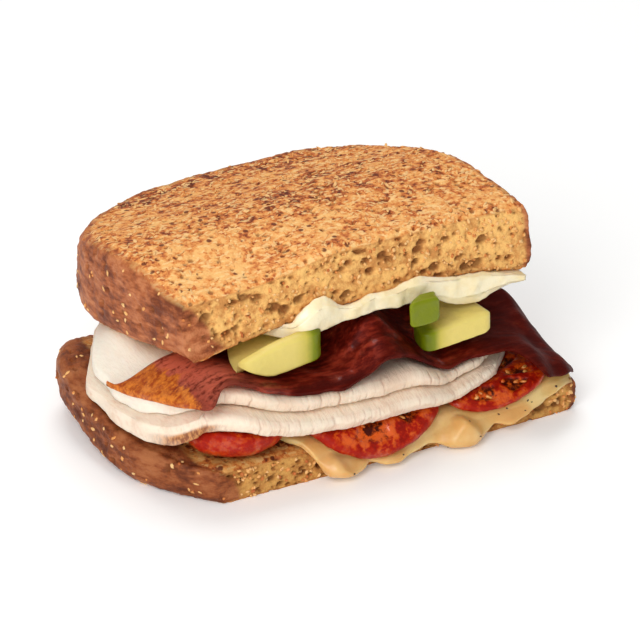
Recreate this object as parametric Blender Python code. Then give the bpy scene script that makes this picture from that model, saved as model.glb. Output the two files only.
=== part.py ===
"""Half of a toasted turkey melt: two slices of multigrain bread round cheese, tomato, turkey, bacon, avocado
and a white spread, cut straight across.

The cut faces -Y and the crust runs round the other three sides. The origin lies under the middle of the
half, on the plane that the bottom slice rests on. Sizes are in millimetres until a mesh is made, in metres.
"""

import math

import bmesh
import bpy
from mathutils import Vector, noise

MM = 0.001

# Each half slice, seen from above: for its left and right side, how far the cut reaches from x = 0, how far
# the crust bows out beyond that, and how far out it is at the far corner before a superellipse of this power
# rounds the corner.
BOTTOM_PLAN = {"left": (52.5, 15.5, 64.0, 5.5), "right": (54.0, 2.0, 46.0, 4.5)}
TOP_PLAN = {"left": (58.0, 3.5, 49.0, 3.6), "right": (45.0, 0.5, 35.0, 4.5)}
CUT_DEPTH, FAR_DEPTH = 35.0, 42.0  # from y = 0 to the cut and to the far crust
CRUST_ROUND = 2.6  # how far the crust turns in at its upper and lower edges

# Heights, and how far the top slice sits back from the bottom one.
BOTTOM_THICK = 12.0
FRONT_SAG, MIDDLE_SAG, SAG_WIDE = 2.5, 2.0, 30.0  # how far the cut is pressed down, most in its middle
SAG_FROM, SAG_RUN = -4.0, 27.0  # where that starts, going towards the cut, and how far it takes
CORNER_CURL = 7.0  # the bottom slice lifts at its far left corner
CURL_LEFT, CURL_BACK = (30.0, 35.0), (15.0, 50.0)  # how far left and towards the cut it starts, and its run
TOP_OFFSET = 10.0
TOP_SLANT = 1.5  # how far the lower edge of its cut face stands in front of the upper edge
MIDDLE_X = 8.0
ARCH_TOP, ARCH_FALL_BACK = 43.5, 8.0  # top slice's underside at its highest, and its fall to the back
ARCH_FALL = {"left": 6.0, "right": 13.0}  # and to each end
ARCH_HALF, ARCH_POWER = 60.0, 2.2  # how far off the ends are, and the power with which the fall grows
ARCH_BACK = (25.0, 77.0)  # how far in front of y = 0 the fall to the far crust starts, and over how far
TOP_CROWN, TOP_FALL_BACK, TOP_FALL_SIDE, TOP_FALL_CORNER = 58.3, 10.5, 1.5, 3.0
TOP_BACK_RUN = 56.0
TOP_CORNER = ((10.0, 25.0), (2.0, 20.0))  # the corner's start and run, to the left and to the cut
TOAST_ROUGH, TOAST_LUMP = 0.45, 8.0  # height and size of the bumps in the toasted face

# The fillings, from the bottom up.
GAP = 0.48  # clear space between one layer and the next
LAYERS = (1.8, 3.6, 5.2, 4.6, 2.0)  # cheese, tomato, lower and upper turkey, bacon
SPREAD = 3.0
FULL_STACK = sum(LAYERS) + SPREAD
RIPPLE = 0.8  # waves in the turkey
LEAST_PRESS = 0.4  # the fillings are never squashed below this share of their thickness
THIN_RIGHT = 0.4  # how much thinner the fillings are near the right end of the cut
THIN_X, THIN_Y = (4.0, 14.0), (2.0, 22.0)  # that one's start and run, going right and towards the cut
# Fall past each end, where it starts, and its run.
DROOP_LEFT, DROOP_RIGHT = (4.5, 53.0, 14.0), (13.0, 45.0, 12.0)
FOLD, FOLD_AT, FOLD_WIDE = 4.5, (-57.0, 10.0), (5.5, 9.0)  # the upper turkey is folded up here
BULGE_WIDE, BULGE_FRONT = 11.0, (12.0, 14.0)
BULGE, BULGE_X = 3.3, -47.0  # a thick tomato raises what lies on it, near the left end of the cut

# The fillings bend down over the cut edge of the bottom slice, all about one line.
BEND_Y = -31.0
BEND_RADIUS = CUT_DEPTH + BEND_Y  # the bend starts where the front edge of the bread begins to turn down
BEND_PACE = 12.0  # millimetres of filling for each radian of bend
BEND_LIMIT = math.radians(80)


def smooth(t):
    """0 below 0, 1 above 1, and an even S between them."""
    t = min(max(t, 0.0), 1.0)
    return t * t * (3 - 2 * t)


def hump(distance, width):
    return math.exp(-((distance / width) ** 2))


def rough(x, y, z, size, seed=0.0):
    """Noise from -1 to 1, with lumps of about this size."""
    return noise.noise(Vector((x, y, z)) / size + Vector((seed, 2 * seed, 3 * seed)))


# ---------------------------------------------------------------- surfaces


def slice_plan(plan, u, v):
    """Where a point of the square -1 to 1 lies on the half slice, whose cut is at v = -1."""
    cut, bow, far, power = plan["left" if u < 0 else "right"]
    if v > 0:
        shrink = max(abs(u), v) / (abs(u) ** power + v**power) ** (1 / power)
        u, v = u * shrink, v * shrink
    half = cut + bow * (1 - v * v) if v < 0 else cut + bow - (cut + bow - far) * v * v
    return u * half, v * (CUT_DEPTH if v < 0 else FAR_DEPTH)


def base(x, y):
    """Underside of the bottom slice."""
    left, back = CURL_LEFT, CURL_BACK
    return CORNER_CURL * smooth((-x - left[0]) / left[1]) * smooth((y + back[0]) / back[1])


def bottom_top(x, y):
    """Upper face of the bottom slice."""
    sag = FRONT_SAG + MIDDLE_SAG * hump(x - MIDDLE_X, SAG_WIDE)
    return BOTTOM_THICK + base(x, y) - sag * smooth((SAG_FROM - y) / SAG_RUN)


def arch(x, y):
    """Underside of the top slice."""
    side = "left" if x < MIDDLE_X else "right"
    across = abs(x - MIDDLE_X) / ARCH_HALF
    fall_back = ARCH_FALL_BACK * smooth((y + ARCH_BACK[0]) / ARCH_BACK[1])
    return ARCH_TOP - ARCH_FALL[side] * across**ARCH_POWER - fall_back


def crown(x, y):
    """Toasted face of the top slice."""
    (left, left_run), (cut, cut_run) = TOP_CORNER
    corner = smooth((-x - left) / left_run) * smooth((-y - cut) / cut_run)
    fall = TOP_FALL_BACK * smooth(y / TOP_BACK_RUN) + TOP_FALL_SIDE * ((x - MIDDLE_X) / ARCH_HALF) ** 2
    return TOP_CROWN - fall - TOP_FALL_CORNER * corner


def press(x, y):
    """How much the fillings are squashed, from 1 where there is room to about half at the corners."""
    room = arch(x, y) - bottom_top(x, y) - (len(LAYERS) + 2) * GAP - RIPPLE
    thin = 1 - THIN_RIGHT * smooth((x - THIN_X[0]) / THIN_X[1]) * smooth((THIN_Y[0] - y) / THIN_Y[1])
    return min(max(room / FULL_STACK, LEAST_PRESS), thin)


def droop(x):
    """How far the fillings fall where they reach past the bread's ends."""
    (left, left_at, left_run), (right, right_at, right_run) = DROOP_LEFT, DROOP_RIGHT
    return left * smooth((-x - left_at) / left_run) + right * smooth((x - right_at) / right_run)


def fold(x, q):
    """How far the upper turkey is folded up near its left end."""
    return FOLD * hump(x - FOLD_AT[0], FOLD_WIDE[0]) * hump(q - FOLD_AT[1], FOLD_WIDE[1])


def ripple(x, y):
    wave = math.sin(x / 7.5 + 0.6 * math.sin(y / 15)) * math.cos(y / 26)
    return RIPPLE * (1 + wave) / 2


def lift(layer, x, y, share=0.0):
    """Height above the bottom slice of a point in a layer, 0 for the cheese. share runs up through it."""
    packed = press(x, y) * (sum(LAYERS[:layer]) + share * LAYERS[layer])
    loose = ripple(x, y) if layer > 1 else 0.0
    bulge = BULGE * hump(x - BULGE_X, BULGE_WIDE) * smooth((-y - BULGE_FRONT[0]) / BULGE_FRONT[1])
    return packed + GAP * (layer + 1) + loose + bulge * (share if layer == 1 else float(layer > 1))


def drape(x, q, height):
    """A point this high above the bottom slice. q is its y, until the filling bends over the cut edge."""
    if q >= BEND_Y:
        return Vector((x, q, bottom_top(x, q) + height))
    angle = min((BEND_Y - q) / BEND_PACE, BEND_LIMIT)
    hang = max(BEND_Y - q - BEND_PACE * BEND_LIMIT, 0.0)
    radius = BEND_RADIUS + height
    y = BEND_Y - radius * math.sin(angle) - hang * math.cos(angle)
    z = bottom_top(x, BEND_Y) - BEND_RADIUS + radius * math.cos(angle) - hang * math.sin(angle)
    return Vector((x, y, z))


# ---------------------------------------------------------------- making objects


def material(name, colour, roughness):
    made = bpy.data.materials.new(name)
    made.use_nodes = True
    shader = made.node_tree.nodes["Principled BSDF"]
    shader.inputs["Base Color"].default_value = (*colour, 1.0)
    shader.inputs["Roughness"].default_value = roughness
    shader.inputs["Metallic"].default_value = 0.0
    made.diffuse_color = (*colour, 1.0)
    return made


def block(name, cells, place, finish):
    """A cube cut into cells along X, Y and Z. place puts each corner, from -1 to 1, in millimetres."""
    bm = bmesh.new()
    bmesh.ops.create_cube(bm, size=2.0)
    for axis, count in enumerate(cells):
        along = [e for e in bm.edges if abs((e.verts[0].co - e.verts[1].co)[axis]) > 1e-6]
        bmesh.ops.subdivide_edges(bm, edges=along, cuts=count - 1, use_grid_fill=True)
    for vertex in bm.verts:
        vertex.co = MM * Vector(place(*vertex.co))
    mesh = bpy.data.meshes.new(name)
    bm.to_mesh(mesh)
    bm.free()
    mesh.shade_smooth()
    mesh.materials.append(finish)
    made = bpy.data.objects.new(name, mesh)
    parts.objects.link(made)
    return made


def disc(u, v):
    """The square -1 to 1 as a disc of radius 1."""
    length = math.hypot(u, v)
    return (u, v) if length == 0 else (u * max(abs(u), abs(v)) / length, v * max(abs(u), abs(v)) / length)


# ---------------------------------------------------------------- the bread


def edge_turn(depth):
    """How far the cut edge has turned in, this deep below the upper face."""
    rise = min(max(BEND_RADIUS - depth, 0.0), BEND_RADIUS * math.sqrt(0.5))
    return BEND_RADIUS - math.sqrt(BEND_RADIUS**2 - rise**2)


def bread(name, plan, lower, upper, offset, lean, slant, seed, finish):
    """A half slice between two surfaces, with a round crust and an open cut face.

    lean is how far its lower left corner is pushed in at the cut, and slant how far the cut's lower edge
    stands out.
    """

    def place(u, v, w):
        turn_in = CRUST_ROUND * abs(w) ** 5
        x, y = slice_plan(plan, u, v)
        x *= 1 - turn_in / 60
        if v > 0:
            y *= 1 - turn_in / 35
        at_cut = smooth((-0.9 - v) / 0.1)
        wrinkle = 0.5 * rough(x, y, 10 * w, 9, seed)
        x += wrinkle * abs(u) ** 8
        x += lean * (1 - w) / 2 * smooth((-u - 0.5) / 0.5) * smooth((-0.1 - v) / 0.9)
        y += wrinkle * max(v, 0) ** 8
        y += offset
        low, high = lower(x, y), upper(x, y)
        z = low + (high - low) * (w + 1) / 2
        # The cut edges are worn round, and crumbs are missing from the cut face.
        worn = edge_turn(high - z)
        z -= at_cut * (BEND_RADIUS * (1 - math.sqrt(0.5)) if w == 1 else 0.0)
        y += at_cut * (worn + 0.9 * abs(rough(x, 0, 12 * w, 5, seed)) - slant * (1 - w) / 2)
        return x, y, z

    return block(name, (24, 14, 5), place, finish)


def toasted(x, y):
    return crown(x, y) + TOAST_ROUGH * rough(x, y, 0, TOAST_LUMP, 4.0)


# ---------------------------------------------------------------- the fillings


def melted_cheese(finish):
    """A sheet of cheese that has run over the cut edge and hangs down in folds."""
    runs = ((-18, 7, 4.6), (-3, 8, 3.6), (19, 7, 4.6), (34, 6, 2.6))  # x, half width, how far it has run
    half, narrow, back, middle, start = 53.0, 12.0, 36.0, BEND_Y + 7, BEND_Y + 5
    overhang, short = 22.0, 5.0  # how far it hangs past its start, and how much less at its right end
    tucked = 6.0  # how much further back its left corner lies
    bead, swelling = 1.8, 3.4  # how much thicker the hanging edge is, and how much more in each run

    def place(u, v, w):
        at_cut = 54 * u
        reach = max(far * hump(at_cut - at, 1.3 * wide) for at, wide, far in runs)
        tuck = tucked * smooth((-u - 0.88) / 0.1)
        front = start + tuck - (overhang + reach) * smooth((u + 0.62) / 0.20)
        front += short * smooth((u - 0.8) / 0.2)
        centre = middle + tuck
        q = centre + (v * (centre - front) if v < 0 else v * (back - centre))
        x = u * (half - narrow * smooth((q - 2) / 30) ** 2)
        thin = 1 - 0.55 * smooth((abs(u) - 0.9) / 0.1)
        height = lift(0, x, q, (w + 1) / 2 * thin) + 0.4 * hump(at_cut + 26.5, 3) * smooth((-30 - q) / 2)
        hang = smooth((-49.0 + 7 * hump(at_cut - 18, 4) + 3 * hump(at_cut + 21, 3) - q) / 2.5)
        swell = max(hump(at_cut - at, wide) for at, wide, far in runs)
        height += hang * (w + 1) / 2 * (bead + swelling * swell)
        return drape(x, q, height)

    return block("melted_cheese", (26, 14, 1), place, finish)


def tomato(name, middle, radius, front, finish, seed):
    """A round slice of tomato. front is how far its q may reach, where the knife cut it."""

    def place(u, v, w):
        a, b = disc(u, v)
        uneven = 1 + 0.03 * math.sin(3 * math.atan2(b, a) + seed)
        edge = 1 - 0.08 * w * w
        x = middle[0] + a * radius * uneven * edge
        q = max(middle[1] + b * radius * uneven * edge, front)
        return drape(x, q, lift(1, x, q, (w + 1) / 2))

    return block(name, (8, 8, 2), place, finish)


def turkey(name, layer, left, right, front, back, folded, finish):
    """A soft slice of roast turkey with torn edges. folded is 1 where its left end is folded up."""

    def place(u, v, w):
        torn = rough(3 * u, 3 * v, layer, 0.8, 2.0)
        span = (left + right) / 2, (right - left) / 2
        power = 3 if v < 0 else 7
        corner = max(abs(u), abs(v)) / (abs(u) ** power + abs(v) ** power) ** (1 / power) if u or v else 1
        x = span[0] + span[1] * u * corner + 1.6 * torn * abs(u) ** 6
        depth = (front + back) / 2, (back - front) / 2
        q = depth[0] + depth[1] * v * corner + 1.0 * torn * abs(v) ** 6
        x += 13 * max(-u, 0) ** 2 * smooth((q - 8) / 25)
        height = lift(layer, x, q, (w + 1) / 2) - droop(x)
        height += folded * fold(x, q)
        return drape(x, q, height)

    return block(name, (24, 10, 1), place, finish)


# Where each rasher rises, how widely, and how much of the way up to the spread.
FRONT_CRESTS = ((-49, 5, 0.9), (-4, 8, 1.0), (29, 9, 0.12))
BACK_CRESTS = ((-38, 8, 0.9), (-8, 9, 0.7), (27, 8, 0.9))
CREST_FRONT, CREST_EDGE, CREST_RUN = -34.0, 0.3, 6.0  # the front edge, its share of the rise, and the run
OVERHANG_DROP, OVERHANG_X, OVERHANG_WIDE = 4.5, 46.0, 4.0  # its right end bends down past the turkey
OPEN_ROOM, OPEN_Q, OPEN_RUN = 7.0, -30.5, 3.0  # more room above, in front of the top slice


def ceiling(x, q):
    """Height above the bottom slice of the spread's underside, with more room in front of the top slice."""
    under = arch(x, q) - bottom_top(x, max(q, BEND_Y)) - SPREAD - 2 * GAP
    return under + OPEN_ROOM * smooth((OPEN_Q - q) / OPEN_RUN)


def bacon_height(x, q, crests, share):
    """Height above the bottom slice of a rasher, which rises to the spread at each crest."""
    bent = OVERHANG_DROP * hump(x - OVERHANG_X, OVERHANG_WIDE) * smooth((-18 - q) / 12)
    low = lift(4, x, q, share) + fold(x, q) - droop(x) - bent
    room = max(ceiling(x, q) - lift(4, x, q, 1.0) - GAP, 0.0)
    steep = CREST_EDGE + (1 - CREST_EDGE) * smooth((q - CREST_FRONT) / CREST_RUN)
    return low + room * steep * min(sum(tall * hump(x - at, wide) for at, wide, tall in crests), 1.0)


def bacon(name, left, right, front, back, turn, lobes, crests, finish):
    """A long rasher of bacon in waves, along the cut.

    turn is how far its left end turns back from the cut. lobes is 1 for the rasher that hangs over the turkey.
    """

    def place(u, v, w):
        x = (left + right) / 2 + u * (right - left) / 2
        sway = 1.5 * math.sin(x / 13)
        round_end = 1 - math.sqrt(1 - min(max((-x - 52) / 14.5, 0.0), 1.0) ** 2)
        lobe = 7.0 * smooth((x - 34) / 8) + 3.5 * hump(x + 57, 4) - 6.0 * u**16
        near = front + sway + turn * round_end - lobes * lobe
        far = back + sway + 0.32 * turn * round_end - 3.0 * u**16
        q = near + (v + 1) / 2 * (far - near)
        share = 0.5 + w / 2 * (1 - 0.4 * v**8)
        return drape(x, q, bacon_height(x, q, crests, share))

    return block(name, (38, 5, 1), place, finish)


def avocado(name, front, half_width, length, low, high, tilt, tip, finish):
    """A slice of avocado that runs back from the cut and thins where the top slice presses on it.

    tip is how far its lower edge rises to a thin left end.
    """

    def place(u, v, w):
        back = (v + 1) / 2
        side = u * half_width * (1 - 0.45 * back**2)
        x = front[0] + side + 3.0 * back**2
        y = front[1] + back * length
        q = max(y, BEND_Y)
        rest = bottom_top(x, q) + bacon_height(x, q, FRONT_CRESTS, 1.0) + GAP
        open_front = 6 * smooth((TOP_OFFSET - CUT_DEPTH - 4.0 - y) / 2)
        roof = arch(x, y) - SPREAD - 3 * GAP - 1.2 + open_front
        over = min(high + tilt * side - 0.4 * tip * max(-u, 0), roof)
        under = min(max(low + tilt * side + tip * max(-u - 0.3, 0) / 0.7, rest), over - 1.2)
        return x, y, under + (over - under) * (w + 1) / 2 - 0.5 * u**4 * w

    return block(name, (6, 6, 2), place, finish)


def white_spread(finish):
    """A thick spread under the top slice, squeezed out at the cut in lumps."""
    lumps = ((-20, 6.5, 6.5, 0.0), (-4, 5, 2.0, 0.0), (9, 8, 3.5, 0.0), (25, 11, 1.0, 5.6))

    def place(u, v, w):
        face = TOP_OFFSET - CUT_DEPTH - TOP_SLANT
        squeeze = 2.2 + sum(0.35 * up * hump(u * 50 - at, wide) for at, wide, up, down in lumps)
        start = face - 0.4 + 9.0 * smooth((-u - 0.5) / 0.15)
        if v < -0.66:
            y = start - squeeze * (-2 / 3 - v) * 3
        else:
            y = start + (face + 67.6 - start) * (v + 2 / 3) * 3 / 5
        x = -4 + u * (46 - 14 * smooth((y - 14) / 34) ** 2)
        low, high = arch(x, y) - GAP - SPREAD * press(x, y), arch(x, y) - GAP
        if v < -0.66:
            rise = smooth((-0.66 - v) / 0.16) - 0.35 * smooth((-0.84 - v) / 0.16)
            rise *= smooth((face + 0.1 - y) / 0.5)
            high += rise * sum(up * hump(x - at, wide) for at, wide, up, down in lumps)
            low -= rise * sum(down * hump(x - at, wide) for at, wide, up, down in lumps)
            low += 0.6 * smooth((-0.8 - v) / 0.2)
        return x, y, low + (high - low) * (w + 1) / 2

    return block("white_spread", (22, 12, 1), place, finish)


# ---------------------------------------------------------------- the sandwich

for old in list(bpy.data.objects):
    bpy.data.objects.remove(old)
parts = bpy.data.collections.new("turkey_melt_half")
bpy.context.scene.collection.children.link(parts)

toast_brown = material("toasted_bread", (0.55, 0.27, 0.10), 0.65)
cheese_yellow = material("melted_cheese", (0.78, 0.55, 0.24), 0.35)
tomato_red = material("cooked_tomato", (0.62, 0.07, 0.02), 0.3)
turkey_white = material("roast_turkey", (0.80, 0.62, 0.47), 0.5)
bacon_red = material("crisp_bacon", (0.22, 0.035, 0.02), 0.35)
avocado_green = material("avocado_flesh", (0.62, 0.58, 0.17), 0.45)
spread_white = material("white_spread", (0.86, 0.80, 0.62), 0.35)

bread("bottom_slice", BOTTOM_PLAN, base, bottom_top, 0.0, 0.0, 0.0, 1.0, toast_brown)
melted_cheese(cheese_yellow)
tomato("tomato_left", (-41.6, -23.5), 13.7, -52.0, tomato_red, 0.3)
tomato("tomato_middle", (-6, -28.5), 20.5, -52.0, tomato_red, 1.4)
tomato("tomato_right", (31, -29), 15.5, -52.0, tomato_red, 2.2)
tomato("tomato_far_left", (-27, 14), 15.5, -52.0, tomato_red, 3.1)
tomato("tomato_far_right", (12, 13), 16.5, -52.0, tomato_red, 4.4)
turkey("turkey_lower", 2, -65.5, 43.0, -38.8, 36, 0, turkey_white)
turkey("turkey_upper", 3, -64.5, 42.0, -35.6, 38, 1, turkey_white)
bacon("bacon_front", -66, 54.5, -33.5, -10, 34.0, 1, FRONT_CRESTS, bacon_red)
bacon("bacon_back", -46, 50, -4.0, 25, 0.0, 0, BACK_CRESTS, bacon_red)
avocado("avocado_left", (-32.0, -33.0), 12.0, 22, 31.0, 40.6, 0.10, 5.0, avocado_green)
avocado("avocado_middle", (7.8, -36.0), 4.4, 4.2, 36.4, 43.6, 0.0, 0.0, avocado_green)
avocado("avocado_right", (19.4, -33.5), 10.2, 17, 26.9, 33.2, 0.08, 0.0, avocado_green)
white_spread(spread_white)
bread("top_slice", TOP_PLAN, arch, toasted, TOP_OFFSET, 2.0, TOP_SLANT, 2.0, toast_brown)
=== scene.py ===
"""Half of a toasted turkey melt, cut straight across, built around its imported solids.

The cut faces -Y and the origin lies under the middle of the half. Shapes are worked out in millimetres and
become metres when a mesh is made. u, v and w run from -1 to 1 across a piece, from the cut to the back, and
upwards. Every layer of the filling has a q, which is its y until it bends down over the cut edge.
"""

import itertools
import math

import bpy
import numpy as np
from mathutils import Matrix, Vector


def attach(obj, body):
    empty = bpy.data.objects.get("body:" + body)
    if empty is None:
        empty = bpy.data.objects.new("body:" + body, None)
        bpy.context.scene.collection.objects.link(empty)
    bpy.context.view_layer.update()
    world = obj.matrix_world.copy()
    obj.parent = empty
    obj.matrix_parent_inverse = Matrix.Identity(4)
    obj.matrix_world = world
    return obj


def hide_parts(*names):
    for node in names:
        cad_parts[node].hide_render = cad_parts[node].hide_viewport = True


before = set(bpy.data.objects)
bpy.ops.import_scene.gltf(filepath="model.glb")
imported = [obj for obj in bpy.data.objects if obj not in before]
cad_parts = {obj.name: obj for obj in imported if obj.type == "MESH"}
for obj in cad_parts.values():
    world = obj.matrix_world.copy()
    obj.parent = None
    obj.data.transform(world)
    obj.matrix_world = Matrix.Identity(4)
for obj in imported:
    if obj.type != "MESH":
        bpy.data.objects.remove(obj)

bl_info = {
    "name": "Turkey melt half",
    "version": (1, 0, 0),
    "blender": (4, 5, 0),
    "location": "3D View > Sidebar > Turkey melt",
    "description": "Makes half of a toasted turkey melt around its solids",
    "category": "Object",
}

MM = 0.001

# ---------------------------------------------------------------- the sandwich's measures, as in its solids

# Each end of a slice: half width at the cut, the crust's bow, half width at the far crust, and how square the
# far corner is.
BOTTOM_PLAN = {"left": (52.5, 15.5, 64.0, 5.5), "right": (54.0, 2.0, 46.0, 4.5)}
TOP_PLAN = {"left": (58.0, 3.5, 49.0, 3.6), "right": (45.0, 0.5, 35.0, 4.5)}
CUT_DEPTH, FAR_DEPTH = 35.0, 42.0  # from y = 0 to the cut and to the far crust
CRUST_ROUND = 2.6  # how far the crust turns in at its upper and lower edges
ROUND_WIDE, ROUND_DEEP = 60.0, 35.0  # the half width and depth that this is taken from

BOTTOM_THICK = 12.0
FRONT_SAG, MIDDLE_SAG, SAG_WIDE = 2.5, 2.0, 30.0  # how far the cut is pressed down, most in its middle
SAG_FROM, SAG_RUN = -4.0, 27.0  # where that starts, going towards the cut, and how far it takes
CORNER_CURL = 7.0  # the bottom slice lifts at its far left corner
CURL_LEFT, CURL_BACK = (30.0, 35.0), (15.0, 50.0)  # how far left and towards the cut it starts, and its run
TOP_OFFSET = 10.0  # how far the top slice sits back from the bottom one
TOP_SLANT = 1.5  # how far the lower edge of its cut face stands in front of the upper edge
MIDDLE_X = 8.0
ARCH_TOP, ARCH_FALL_BACK = 43.5, 8.0  # top slice's underside at its highest, and its fall to the back
ARCH_FALL_LEFT, ARCH_FALL_RIGHT = 6.0, 13.0  # and to each end
ARCH_HALF, ARCH_POWER = 60.0, 2.2  # how far off the ends are, and the power with which the fall grows
ARCH_BACK = (25.0, 77.0)  # how far in front of y = 0 the fall to the far crust starts, and over how far
TOP_CROWN, TOP_FALL_BACK, TOP_FALL_SIDE, TOP_FALL_CORNER = 58.3, 10.5, 1.5, 3.0
TOP_BACK_RUN = 56.0
TOP_CORNER = ((10.0, 25.0), (2.0, 20.0))  # the corner's start and run, to the left and to the cut

# The fillings, from the bottom up.
GAP = 0.48  # clear space between one layer and the next
CHEESE, TOMATO, LOWER_TURKEY, UPPER_TURKEY, BACON = range(5)
LAYERS = (1.8, 3.6, 5.2, 4.6, 2.0)  # how thick each of these is
SPREAD = 3.0
FULL_STACK = sum(LAYERS) + SPREAD
RIPPLE = 0.8  # waves in the turkey
LEAST_PRESS = 0.4  # the fillings are never squashed below this share of their thickness
THIN_RIGHT = 0.4  # how much thinner the fillings are near the right end of the cut
THIN_X, THIN_Y = (4.0, 14.0), (2.0, 22.0)  # that one's start and run, going right and towards the cut
# Fall past each end, where it starts, and its run.
DROOP_LEFT, DROOP_RIGHT = (4.5, 53.0, 14.0), (13.0, 45.0, 12.0)
FOLD, FOLD_AT, FOLD_WIDE = 4.5, (-57.0, 10.0), (5.5, 9.0)  # the upper turkey is folded up here
BULGE, BULGE_X, BULGE_WIDE = 3.3, -47.0, 11.0  # a thick tomato raises what lies on it, at the left
BULGE_FRONT = (12.0, 14.0)  # where that starts, going towards the cut, and its run
TOMATO_FRONT = -52.0  # how far a slice of tomato may reach, where the knife cut it
# Each run of the cheese: its x, half width, and how far it has run.
CHEESE_RUNS = ((-18, 7, 4.6), (-3, 8, 3.6), (19, 7, 4.6), (34, 6, 2.6))
# Each lump of the spread: its x, half width, and how far it stands up and hangs down.
SPREAD_LUMPS = ((-20, 6.5, 6.5, 0.0), (-4, 5, 2.0, 0.0), (9, 8, 3.5, 0.0), (25, 11, 1.0, 5.6))

# The fillings bend down over the cut edge of the bottom slice, all about one line.
BEND_Y = -31.0
BEND_RADIUS = CUT_DEPTH + BEND_Y  # the bend starts where the front edge of the bread begins to turn down
BEND_PACE = 12.0  # millimetres of filling for each radian of bend
BEND_LIMIT = math.radians(80)

# Where each rasher rises, how widely, and how much of the way up to the spread.
FRONT_CRESTS = ((-49, 5, 0.9), (-4, 8, 1.0), (29, 9, 0.12))
BACK_CRESTS = ((-38, 8, 0.9), (-8, 9, 0.7), (27, 8, 0.9))
CREST_FRONT, CREST_EDGE, CREST_RUN = -34.0, 0.3, 6.0  # the front edge, its share of the rise, and the run
OVERHANG_DROP, OVERHANG_X, OVERHANG_WIDE = 4.5, 46.0, 4.0  # its right end bends down past the turkey
OPEN_ROOM, OPEN_Q, OPEN_RUN = 7.0, -30.5, 3.0  # more room above, in front of the top slice

# Cells of a slice's mesh along X, Y and Z.
BREAD_CELLS, QUICK_BREAD_CELLS = (212, 124, 36), (120, 70, 20)


def srgb(red, green, blue):
    """A colour from 0 to 255 a channel, as the linear colour that a shader takes."""
    shares = (red / 255, green / 255, blue / 255)
    return tuple(((share + 0.055) / 1.055) ** 2.4 if share > 0.04 else share / 12.92 for share in shares)


# ---------------------------------------------------------------- numbers and noise


def smooth(t):
    """0 below 0, 1 above 1, and an even S between them."""
    t = np.clip(t, 0.0, 1.0)
    return t * t * (3 - 2 * t)


def hump(distance, width):
    return np.exp(-((distance / width) ** 2))


def scramble(cell, seed):
    """Three numbers from -1 to 1 for each cell of a lattice, the same each time."""
    x, y, z = np.moveaxis(cell, -1, 0)
    h = (x * 73856093) ^ (y * 19349663) ^ (z * 83492791) ^ (int(seed) * 40503 + 977)
    h = h & 0xFFFFFFFF
    h = ((h ^ (h >> 15)) * 2246822519) & 0xFFFFFFFF
    h = ((h ^ (h >> 13)) * 3266489917) & 0xFFFFFFFF
    h = h ^ (h >> 16)
    return np.stack([(h >> shift) & 1023 for shift in (0, 10, 20)], -1) / 511.5 - 1


def rough(x, y, z, size, seed=0):
    """Noise from about -1 to 1, with lumps of about this size."""
    x, y, z = np.broadcast_arrays(x, y, z)
    p = np.stack([x, y, z], -1) / size + 0.37 * seed
    cell = np.floor(p).astype(np.int64)
    inside = p - cell
    ease = inside**3 * (inside * (inside * 6 - 15) + 10)
    total = 0.0
    for corner in itertools.product((0, 1), repeat=3):
        corner = np.array(corner)
        slope = scramble(cell + corner, seed)
        weight = np.where(corner == 1, ease, 1 - ease).prod(-1)
        total = total + weight * (slope * (inside - corner)).sum(-1)
    return 1.25 * total


def rougher(x, y, z, size, seed=0, octaves=3):
    """Noise from about -1 to 1 in several sizes, each half the one before."""
    return sum(rough(x, y, z, size / 2**n, seed + 7 * n) / 2**n for n in range(octaves)) / 1.5


def nearest(x, y, z, size, seed=0):
    """Distance in cells to the nearest of scattered points, one to a cell, and that point's own number."""
    x, y, z = np.broadcast_arrays(x, y, z)
    p = np.stack([x, y, z], -1) / size
    cell = np.floor(p).astype(np.int64)
    best, own = np.full(x.shape, 9.0), np.zeros(x.shape)
    for step in itertools.product((-1, 0, 1), repeat=3):
        near = cell + np.array(step)
        offset = scramble(near, seed)
        gap = np.linalg.norm(near + 0.5 + 0.5 * offset - p, axis=-1)
        own = np.where(gap < best, 0.5 + 0.5 * scramble(near, seed + 31)[..., 0], own)
        best = np.minimum(best, gap)
    return best, own


def pores(x, y, z, size, share, seed=0):
    """Round hollows, 1 at the bottom of each, in this share of the cells."""
    gap, own = nearest(x, y, z, size, seed)
    radius = 0.22 + 0.32 * own
    return smooth((radius - gap) / 0.24) * (own > 1 - share)


# ---------------------------------------------------------------- surfaces that the pieces share


def slice_plan(plan, u, v):
    """Where a point of the square -1 to 1 lies on the half slice, whose cut is at v = -1."""
    cut, bow, far, power = (np.where(u < 0, left, right) for left, right in zip(plan["left"], plan["right"]))
    length = (np.abs(u) ** power + np.maximum(v, 1e-9) ** power) ** (1 / power)
    shrink = np.where(v > 0, np.maximum(np.abs(u), v) / np.maximum(length, 1e-9), 1.0)
    u, v = u * shrink, v * shrink
    half = np.where(v < 0, cut + bow * (1 - v * v), cut + bow - (cut + bow - far) * v * v)
    return u * half, v * np.where(v < 0, CUT_DEPTH, FAR_DEPTH)


def base(x, y):
    """Underside of the bottom slice."""
    left, back = CURL_LEFT, CURL_BACK
    return CORNER_CURL * smooth((-x - left[0]) / left[1]) * smooth((y + back[0]) / back[1])


def bottom_top(x, y):
    """Upper face of the bottom slice."""
    sag = FRONT_SAG + MIDDLE_SAG * hump(x - MIDDLE_X, SAG_WIDE)
    return BOTTOM_THICK + base(x, y) - sag * smooth((SAG_FROM - y) / SAG_RUN)


def arch(x, y):
    """Underside of the top slice."""
    fall = np.where(x < MIDDLE_X, ARCH_FALL_LEFT, ARCH_FALL_RIGHT)
    across = np.abs(x - MIDDLE_X) / ARCH_HALF
    fall_back = ARCH_FALL_BACK * smooth((y + ARCH_BACK[0]) / ARCH_BACK[1])
    return ARCH_TOP - fall * across**ARCH_POWER - fall_back


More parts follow.
